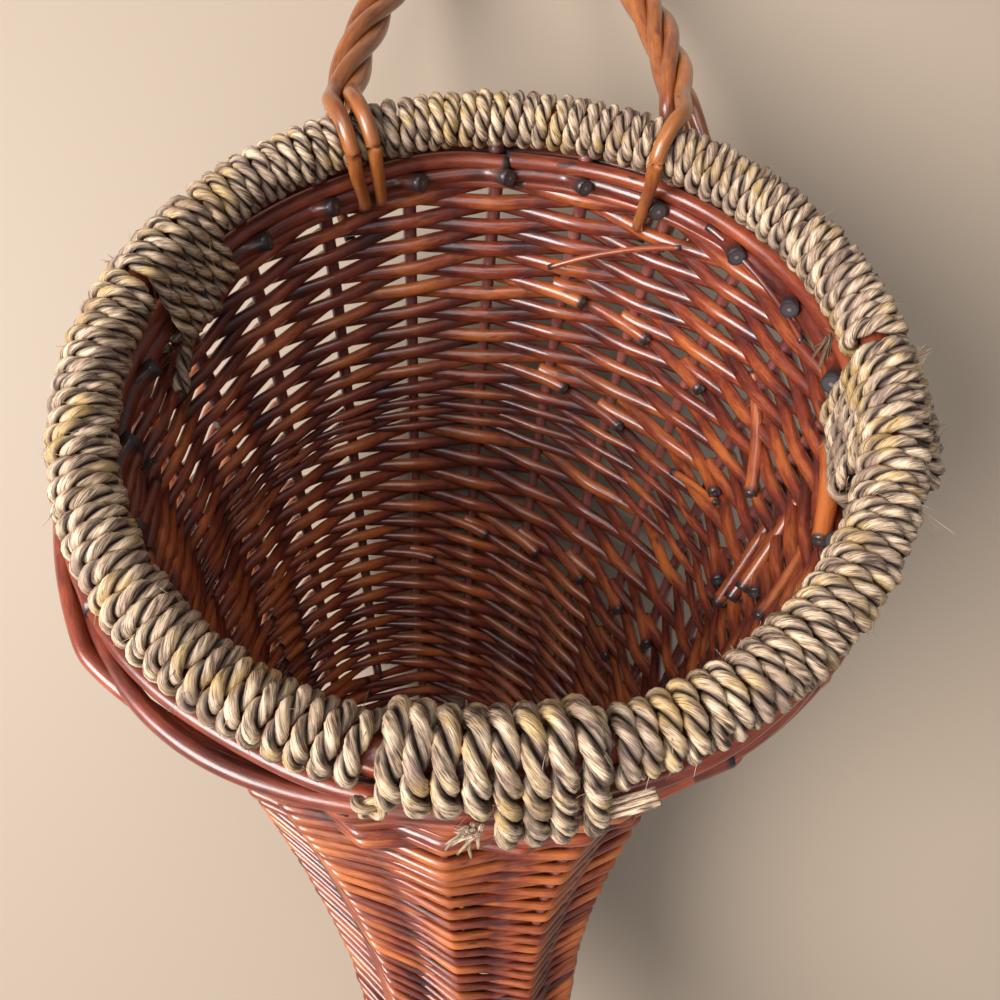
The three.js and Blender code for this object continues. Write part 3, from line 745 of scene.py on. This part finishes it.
def addInnerBorder():
    # three long rods that overlap, a bent-over end for each stake, and two rings of thin rods. A bent
    # end's radius and height change evenly with its share, and by bend ((share - 0.78) / 0.22)^1.5 more
    inner, rods = border["inner"], []
    for first, last in inner["spans"]:
        angle = np.linspace(first, last, 100)
        radius = inner["radius"] + wavy(angle, 0.5, 40) - 1.4 * eased(last - 9, last, angle)
        height = inner["height"] + wavy(angle, 0.5, 45)
        rods.append(ringRod(angle, radius, height, inner["rod"], newTone(0.5, 1), (3, 4.5)))
    rodMesh("border_rod_inner_1", rods, "borderWillow")
    bent, rods = border["bent"], []
    for j in range(stakeCount):
        first = j * stakeAngle - bent["before"] + draw.uniform(-1, 1)
        last = (j + 1) * stakeAngle + bent["past"] + draw.uniform(-1.5, 1.5)
        angle, share = np.linspace(first, last, 24), np.linspace(0, 1, 24)
        bend = np.clip((share - 0.78) / 0.22, 0, 1) ** 1.5
        radius = bent["radius"] - 1.5 * share + bent["bend"][0] * bend
        height = bent["height"] + 1.6 * share + bent["bend"][1] * bend + wavy(share, 0.3, 0.8)
        width = bent["rod"] * draw.uniform(0.93, 1.05)
        rods.append(ringRod(angle, radius, height, width, newTone(0.05, 0.5), (0, bent["cut"])))
    rodMesh("border_rod_inner_2", rods, "borderWillow")
    rods = []
    for height, reach, breaks in border["thin"]:
        for k in range(3):
            last = breaks[(k + 1) % 3] + (360 if k == 2 else 0) + 1.5
            angle = np.linspace(breaks[k] + 2.5, last, 90)
            radius = reach + wavy(angle, 0.6, 33)
            if reach > hoopRadius + 5:  # the outer one comes in a little at the right
                radius = radius - 1.5 * eased(30, 90, angle % 360)
            depth = height + wavy(angle, 0.7, 38)
            rods.append(ringRod(angle, radius, depth, border["thinRod"], newTone(0.5, 1), (2, 3.5)))
    rodMesh("thin_border_weavers", rods, "borderWillow", False)


addOuterBorder()
addInnerBorder()
print("border made")

rope = {
    "half": 3.15, "wide": 1.9, "high": 1.66, "offset": 1.48,  # the rope's radius, a ply's section and place
    # the last number darkens each ply below, towards the rope's middle, as painted shade
    "sides": 12, "ridges": 7, "ridgeDepth": 0.07, "creaseShade": 1.25,
    "pitch": 6.1, "clear": 0.2, "rimLay": 15, "lashingLay": 18, "looseLay": 17,
}
sideTie = {"turns": 6, "pitch": 6.4, "thick": 1, "room": 9.4}
lashings = {
    # full: how far down each turn reaches; room: half its space in the rim rope, in degrees
    "front": {
        "middle": 179.9, "turns": 8, "pitch": 6.9, "thick": 1.19, "room": 12.1,
        "full": (0.9, 0.92, 0.94, 0.9, 0.36, 0.42, 0.46, 0.3),
    },
    "right": {**sideTie, "middle": 6 * stakeAngle - 3.5, "full": (1, 1, 1, 1, 1, 1)},
    "left": {**sideTie, "middle": -4 * stakeAngle, "full": (1, 1, 1, 1, 1, 0.8)},
}
# what they go round, as circles of a radius, height and size; the front's turns lie on the rim rope too
innerRods = [(125, -18, 3.2), (122, -25, 3.4)]
frontRods = [(123.8, 2.2, 6), *innerRods, (131.2, -15, 2.9), (131.7, -20.6, 2.9)]
sideRods = [(125, 0, 4.2), *innerRods, (137, -17, 2.9), (137.5, -23, 2.9)]


def ropePlies(path, up, tone, layLength, thick=1):
    # two plies turn round the rope's middle line, one turn for each lay length, running down to the right
    side, up = squareTo(path, up)
    along = lengthAlong(path)
    start = draw.uniform(0, 6.28)
    plies = []
    for ply in range(2):
        turn = (start - 2 * np.pi * along / layLength + np.pi * ply)[:, None]
        out = np.cos(turn) * up + np.sin(turn) * side
        line = path + rope["offset"] * thick * out
        swell = thick * (1 + wavy(along, 0.07, 30))
        ridges = (rope["ridges"], rope["ridgeDepth"], along * 0.45 + draw.uniform(0, 6))
        # each ply is given painted shade on its side towards the rope's middle
        plies.append(rodTube(
            line, out, rope["wide"] * swell, rope["high"] * swell, rope["sides"],
            (tone[0], draw.uniform(0, 1)), ridges=ridges, creaseShade=rope["creaseShade"],
        ))
    return plies


def strayFibres(path, count, reach):
    # short hairs that leave the rope at random places: length t ahead, and t^1.6 away from it
    hairs = []
    t = np.linspace(0, 1, 6)[:, None]
    half = blend(0.17, 0.05, t[:, 0])
    for i in draw.integers(6, len(path) - 6, count):
        ahead = unit(path[i + 3] - path[i])
        out = unit(draw.normal(size=3))
        out = unit(out - ahead * (out @ ahead))
        length = draw.uniform(0.5, 1) * reach
        lift = rope["half"] * 0.85 + t ** 1.6 * length * draw.uniform(0.15, 0.7)
        up = np.broadcast_to(np.cross(ahead, out), (6, 3))
        hairs.append(rodTube(path[i] + ahead * t * length + out * lift, up, half, half, 3, newTone()))
    return hairs


def addRimRope():
    # a helix round the hoop: its turns start and end below the hoop, where they are tucked away
    wind = basket["hoopRod"] + rope["half"] + rope["clear"]
    start = {label: tie["middle"] - tie["room"] for label, tie in lashings.items()}
    stop = {label: tie["middle"] + tie["room"] for label, tie in lashings.items()}
    spans = {
        "back": (stop["left"], start["right"]), "right": (stop["right"], start["front"]),
        "left": (stop["front"], start["left"] + 360),
    }
    for label, (first, last) in spans.items():
        turns = round(np.radians(last - first) * hoopRadius / rope["pitch"])
        around = np.pi + np.linspace(0, 2 * np.pi * turns, turns * 44 + 1)
        angle = np.linspace(first, last, len(around)) + wavy(around, 0.22, 21)
        reach = wind + wavy(around, 0.35, 19)
        path = ringPoint(angle, hoopRadius + reach * np.sin(around), reach * np.cos(around))
        up = path - ringPoint(angle, hoopRadius, 0)
        rods = ropePlies(path, up, newTone(), rope["rimLay"]) + strayFibres(path, turns * 4, 7)
        rodMesh(f"rim_rope_{label}", rods, "seagrassRope")


addRimRope()
print("rim rope made")


def beltOutline(circles):
    # the tight belt round the circles, one rope radius out: from below up outside the rim, over the hoop
    # and down inside. A point is best circle's centre + (its size + rope radius) (cos a, sin a)
    circle = np.array(circles)
    turn = np.linspace(-np.pi / 2, 1.5 * np.pi, 361)
    way = np.stack([np.cos(turn), np.sin(turn)])
    best = (circle[:, :2] @ way + circle[:, 2:]).argmax(0)
    return circle[best, :2] + (circle[best, 2:] + rope["half"] + rope["clear"]) * way.T


def addLashings():
    # each turn goes once round the belt outline, while the angle moves on by the pitch
    for label, tie in lashings.items():
        isFront = label == "front"
        outline = beltOutline(frontRods if isFront else sideRods)
        length = lengthAlong(outline)
        share = np.linspace(0, tie["turns"], tie["turns"] * 60 + 1)
        radius, height = (np.interp(share % 1 * length[-1], length, outline[:, k]) for k in range(2))
        # below the hoop a turn keeps only its full share of the belt
        steps = np.ravel(np.arange(tie["turns"])[:, None] + [0, 0.72])
        full = np.interp(share, steps, np.repeat(tie["full"], 2))
        pulled = np.where(radius > 125, 125 + (radius - 125) * np.minimum(0.15 + full, 1), radius)
        radius = blend(radius, pulled, eased(0, -26, height))
        height = np.where(height < 0, height * full, height)
        moved = share
        if isFront:  # these turns hang straight and move on inside
            moved = np.floor(share) + eased(0.5, 1, share % 1) * 0.9 + share % 1 * 0.1
        angle = tie["middle"] + np.degrees(tie["pitch"] / 128) * (moved - tie["turns"] / 2)
        angle = angle + wavy(share, 0.25, 1.4)
        swell = 1 + wavy(share, 0.015, 1.1) + 0.012 * isFront
        radius, height = 128 + (radius - 128) * swell, -8 + (height + 8) * swell
        path = relaxed(ringPoint(angle, radius, height), 2)
        up = path - ringPoint(angle, 128, -8)
        plies = ropePlies(path, up, newTone(), rope["lashingLay"] * tie["thick"], tie["thick"])
        rodMesh(f"rope_lashing_{label}", plies + strayFibres(path, 40, 8), "seagrassRope")


addLashings()
print("lashings made")

handle = {
    "centre": 6, "halfWidth": 66, "crossing": 11, "foot": 10, "height": 140, "topRadius": 46,
    "turns": 3, "rod": 6.8, "spread": 4.8, "lane": 8.4, "sides": 14,
    "inside": (27, 35), "outside": 46,  # how deep an end goes: inside at both sides, and outside
    "lean": (4, -8),  # how far it moves over on its way down inside
    "wall": 131, "border": 9.8, "weave": 8.1,  # the wall's middle, and half of what it measures there
    # each rod's left and right end: over the rope or not, and its lane
    "ends": [
        ((True, -0.35), (False, 1)), ((True, 0.5), (True, 0)),
        ((False, 0.5), (False, -1)), ((False, -0.5), (False, 0)),
    ],
}


def handleArch(share):
    # a wide arc at each side and a tight one at the top; share runs from the left foot to the right one.
    # A point is its arc's centre + radius (cos a, sin a)
    top, foot = handle["topRadius"], hoopRadius + handle["foot"]
    rise = handle["height"] - top
    wide = (handle["halfWidth"] ** 2 + rise ** 2 - top ** 2) / (2 * (handle["halfWidth"] - top))
    sweep = np.arcsin(rise / (wide - top))
    across, sideLength, topLength = wide - handle["halfWidth"], wide * sweep, top * (np.pi - 2 * sweep)
    s = share * (2 * sideLength + topLength)
    arcs = [s <= sideLength, s <= sideLength + topLength]
    angles = [np.pi - s / wide, np.pi - sweep - (s - sideLength) / top]
    angle = np.select(arcs, angles, sweep - (s - sideLength - topLength) / wide)
    centre = [np.select(arcs, [across, 0], -across), np.select(arcs, [foot, foot + rise], foot)]
    out = np.stack([np.cos(angle), np.sin(angle)], -1)
    return np.stack(centre, -1) + np.select(arcs, [wide, top], wide)[:, None] * out, out


def handleEnd(angle, over, shift):
    # over the rope and down inside the wall, or straight down outside it
    side, half, right = -1 if over else 1, handle["rod"] / 2, int(angle > 0)
    depth = handle["inside"][right] if over else handle["outside"]
    onWeave = handle["wall"] + side * (handle["weave"] + half)
    onBorder = handle["wall"] + side * (handle["border"] + half)
    route = [(handle["wall"] + side * 2, -depth - 9), (onWeave, -depth), (onBorder, -24 - half)]
    if over:
        roll = basket["hoopRod"] + 2 * rope["half"] + half + 0.5
        turns = np.radians([200, 165, 130, 95, 60])
        route += [(hoopRadius + roll * np.cos(t), roll * np.sin(t)) for t in turns]
    else:
        route.append((onBorder, -16 + half))
    radius, height = np.array(route, float).T
    down = np.clip((-6 - height) / depth, 0, 1) * over
    shift = shift * (1 - 0.3 * down) + handle["lean"][right] * down
    angle = np.full(len(radius), angle)
    return ringPoint(angle, radius, height) + ringPoint(angle + 90, shift, 0)


def through(points, steps):
    # the polyline, filled with evenly spaced points and eased many times
    length = lengthAlong(points)
    at = np.linspace(0, length[-1], steps)
    return relaxed(np.stack([np.interp(at, length, points[:, k]) for k in range(3)], -1), 14)


def addHandle():
    # four rods twisted round the arch, each from its end at the left foot to that at the right
    feet = handle["centre"] + handle["halfWidth"] * np.array([-1, 1])
    feet = np.degrees(np.arcsin(feet / (hoopRadius + handle["crossing"])))
    lane = handle["lane"] / np.cos(np.radians(feet[1]))
    for i, (left, right) in enumerate(handle["ends"]):
        # the arch is a rope of four: middle line + spread (cos p out + sin p across), p turning evenly
        share = np.linspace(0, 1, 40 * handle["turns"] + 1)
        middle, out = handleArch(share)
        phase = np.radians(45 + 90 * i + share * (360 * handle["turns"] - 45)) + wavy(share, 0.06, 0.4)
        flat = middle + (handle["spread"] * np.cos(phase))[:, None] * out
        twisted = np.column_stack([flat + [handle["centre"], 0], handle["spread"] * np.sin(phase)])
        first = handleEnd(feet[0], left[0], left[1] * lane)
        last = handleEnd(feet[1], right[0], right[1] * lane)[::-1]
        path = through(np.concatenate([first, twisted, last]), 420)
        along = np.linspace(0, 1, len(path))
        half = handle["rod"] / 2 * blend(1.04, 0.94, along) * (1 + wavy(along, 0.02, 0.12))
        half = half * (1 - 0.3 * (1 - eased(0.02, 0.17, along)) - 0.28 * eased(0.84, 0.97, along))
        up = [0, 0, 1] + 0.3 * unit(path)
        rod = rodTube(path, up, half, half, handle["sides"], newTone(0.35, 1), (4, 4))
        rodMesh(f"handle_rod_{i + 1}", [rod], "handleWillow")


addHandle()
print("handle made")

loose = {
    # stray rods on the inner wall: from and to as distance and angle, how far inside they start and how much
    # deeper they end, width and tone
    "rods": [
        (53, 13, 34, 39, 11.5, 0, 2.8, 0.55), (21, 42.5, 26, 58, 9, 0, 3.2, 0.05),
        (23, 51, 30, 71, 10.5, 0, 2.6, 0.15), (38, 89, 46, 108, 9, 0, 7.8, 1.1),
        (123, 94, 87, 87.5, 7, 7, 6, 0.6), (111, 99, 77, 90, 8, 8, 5.8, 0.3),
        (103, 100, 68, 89, 7.5, 8, 5.8, 0.7), (85, 114.5, 64, 97, 7, 7, 4.6, 0.8),
        (104, 57.5, 103, 72.5, 9, 4, 3.6, 1), (85, 82, 60, 62, 7.5, 8, 5.6, 0.8),
    ],
    # frayed grass: angle, radius, height, the way it points (round, out, up), fibres, length, width and shade
    "tufts": [
        (-71, 132, 2, (-0.4, 0.9, 0.1), 14, 7, 0.7, 0.1),
        (89, 132, 3, (-0.4, 0.9, 0.2), 12, 8, 0.6, 0.1),
        (-97, 120, -38, (0.5, -0.6, 0.2), 16, 8, 0.6, 0.9),
        (76, 121, -16, (0.3, -0.3, -0.8), 16, 11, 0.7, 0.7),
        (112, 132, 2, (0.1, 0.9, -0.3), 3, 13, 0.5, 0),
        (146, 120.5, 4, (-0.3, -0.8, 0.1), 6, 7, 0.5, 0.1),
        (180.6, 137.3, -14, (0.3, 0.1, -0.9), 13, 13, 1.5, 0.1),
    ],
    "ropeEnd": {"first": (-68, 121.5, -30), "last": (-77.5, 119, -46)},
    "straw": {"first": (166.6, 136.6, -14.5), "last": (161, 137.8, -8), "width": 1.7, "count": 3},
    "knot": {"place": (191.4, 136.6, -9), "size": 1.35, "rod": 1.15},
}


def straightLine(ends, steps):
    # first + (last - first) share, in even steps
    return blend(ringPoint(*ends["first"]), ringPoint(*ends["last"]), np.linspace(0, 1, steps)[:, None])


def ringAxes(angle):
    # round the rim, outwards and upwards
    return np.stack([ringPoint(angle + 90, 1, 0), ringPoint(angle, 1, 0), [0, 0, 1]])


def addStrayRods():
    # each runs straight from one place on the wall to another, offset - sunk share inside it
    rods = []
    share = np.linspace(0, 1, 30)
    for s0, a0, s1, a1, offset, sunk, width, tone in loose["rods"]:
        distance, angle = blend(s0, s1, share), blend(a0, a1, share)
        path = wallPoint(distance, angle, sunk * share - offset)  # the far end goes in among the others
        half, normal = width / 2 * blend(1, 0.8, share), wallNormal(distance, angle)
        rods.append(rodTube(path, normal, half, half, 10, (tone, draw.uniform(0, 1)), (5, 3)))
    rodMesh("stray_rods", rods, "weaverWillow", False)


def addFrayedGrass():
    # each fibre runs length t along its own way: start + t way + t^2 bend
    fibres = []
    t = np.linspace(0, 1, 8)[:, None]
    for angle, radius, height, way, count, length, width, shade in loose["tufts"]:
        axes = ringAxes(angle)
        flat = np.broadcast_to(axes[1] + 0.1, (8, 3))
        half = width / 2 * blend(1, 0.5, t[:, 0])
        for _ in range(count):
            start = ringPoint(angle, radius, height) + draw.normal(0, width * 0.7, 3)
            fan = unit(np.array(way) + draw.normal(0, 0.16, 3)) @ axes
            bend = draw.normal(0, 0.14, 3)
            line = start + length * draw.uniform(0.6, 1) * (t * fan + t ** 2 * bend)
            fibres.append(rodTube(line, flat, half, half * 0.7, 6, newTone(0.6, 1), shade=shade))
    rodMesh("frayed_ends", fibres, "seagrassRope", False)
    path = straightLine(loose["ropeEnd"], 40)
    out = np.broadcast_to(ringPoint(loose["ropeEnd"]["first"][0], 1, 0), path.shape)
    rodMesh("rope_end", ropePlies(path, out, newTone(), rope["looseLay"]), "seagrassRope", False)


def addCutStraw():
    # flat strips side by side
    straw, strips = loose["straw"], []
    line = straightLine(straw, 10)
    out = np.broadcast_to(ringPoint(straw["first"][0], 0.5, 0.87), line.shape)
    across = unit(np.cross(line[-1] - line[0], out[0]))
    half = straw["width"] / 2 * blend(0.8, 1, np.sin(np.linspace(0.6, 2.4, 10)))
    for k in range(straw["count"]):
        place = line + across * (k - (straw["count"] - 1) / 2) * straw["width"] * 1.1
        strips.append(rodTube(place, out, half, half, 8, (1, 0.2 + 0.15 * k)))
    rodMesh("cut_straw", strips, "seagrassRope", False)


def addKnot():
    # a trefoil knot: (sin t + 2 sin 2t, -sin 3t, cos t - 2 cos 2t)
    knot = loose["knot"]
    turn = np.linspace(0, 2 * np.pi, 90)
    shape = [np.sin(turn) + 2 * np.sin(2 * turn), -np.sin(3 * turn), np.cos(turn) - 2 * np.cos(2 * turn)]
    around = knot["size"] * np.stack(shape, -1) @ ringAxes(knot["place"][0])
    path, half = ringPoint(*knot["place"]) + around, knot["rod"]
    rod = rodTube(path, around, half, half, 12, (0.9, 0.4), ridges=(5, 0.12, turn * 4))
    rodMesh("knot", [rod], "seagrassRope", False)


addStrayRods()
addFrayedGrass()
addCutStraw()
addKnot()
print("loose ends made")

tail = {"start": 492, "turns": 4.5, "rod": 2.6, "pitch": 2.8}


def addTailBinding():
    # a spiral round the gathered stakes: pitch down the spine for every turn
    share = np.linspace(0, tail["turns"], int(tail["turns"] * 40))
    distance = tail["start"] + tail["pitch"] * share
    path = wallPoint(distance, 360 * share, (stakeWidth(distance) + tail["rod"]) / 2 + 0.3)
    half = tail["rod"] / 2
    rod = rodTube(path, wallNormal(distance, 360 * share), half, half, 10, newTone(0.5, 1), (3, 3))
    rodMesh("tail_binding", [rod], "handleWillow")


addTailBinding()
hoopAngle = np.linspace(0.2, 359.8, 240)
hoop = ringRod(hoopAngle, hoopRadius, 0, 2 * basket["hoopRod"], (0.6, 0.5))
rodMesh("rim_hoop", [hoop], "borderWillow")
print("tail and hoop made")

stage = {
    "floorSize": 6, "floorDrop": 0.0004, "floorColour": (0.365, 0.288, 0.216, 1), "floorRoughness": 0.6,
    "lights": {  # the way to each one, its distance, size, power and colour
        "window": ((-0.66, 0, 0.75), 2, 1.3, 76, (1, 0.97, 0.95)),
        "softFront": ((-0.15, -0.4, 0.9), 2.4, 1.6, 9, (0.95, 0.97, 1)),
        "softTop": ((0, 0.5, 0.9), 2.4, 1.6, 16, (1, 0.97, 0.95)),
    },
    "aim": (0, 0.05, 0.15), "skyColour": (0.92, 0.95, 1, 1), "skyStrength": 0.28,
}
camera = {  # place and axes in the basket's own frame
    "place": (6.28, -190, 226.19), "lens": 33.3,
    "axes": ((0.99989, -0.01246, 0.00765), (0.01462, 0.84862, -0.5288), (0.00009, 0.52885, 0.84871)),
}


def addFloor():
    # a square that lies floorDrop below zero
    half, low = stage["floorSize"] / 2, -stage["floorDrop"]
    mesh = bpy.data.meshes.new("floor")
    corners = [(-half, -half, low), (half, -half, low), (half, half, low), (-half, half, low)]
    mesh.from_pydata(corners, [], [(0, 1, 2, 3)])
    material = bpy.data.materials.new("paleFloor")
    material.use_nodes = True
    shader = material.node_tree.nodes["Principled BSDF"]
    feed(shader, {"Base Color": stage["floorColour"], "Roughness": stage["floorRoughness"]})
    mesh.materials.append(material)
    linked("floor", mesh)


def addLight(name, towards, distance, size, power, colour):
    # a disk at aim + distance towards, which faces aim
    data = bpy.data.lights.new(name, "AREA")
    data.shape = "DISK"
    data.size, data.energy, data.color = size, power, colour
    light, back = linked(name, data), Vector(towards).normalized()
    light.location = Vector(stage["aim"]) + back * distance
    light.rotation_euler = back.to_track_quat("Z", "Y").to_euler()


def addWorld():
    # an even pale sky
    world = bpy.data.worlds.new("studio")
    world.use_nodes = True
    feed(world.node_tree.nodes["Background"], {"Color": stage["skyColour"], "Strength": stage["skyStrength"]})
    bpy.context.scene.world = world


def addCamera():
    # its place and axes, turned as toRow turns the basket
    data = bpy.data.cameras.new("camera")
    data.lens, data.sensor_width, data.clip_start = camera["lens"], 36, 0.01
    axes = np.eye(4)
    axes[:3, :3] = tipped @ np.array(camera["axes"])
    axes[:3, 3] = toRow(np.array(camera["place"]))
    eye = linked("camera", data)
    eye.matrix_world = Matrix(axes.tolist())
    bpy.context.scene.camera = eye


addFloor()
for label, light in stage["lights"].items():
    addLight(label, *light)
addWorld()
addCamera()
bpy.context.scene.view_settings.view_transform = "Standard"
print("stage made")
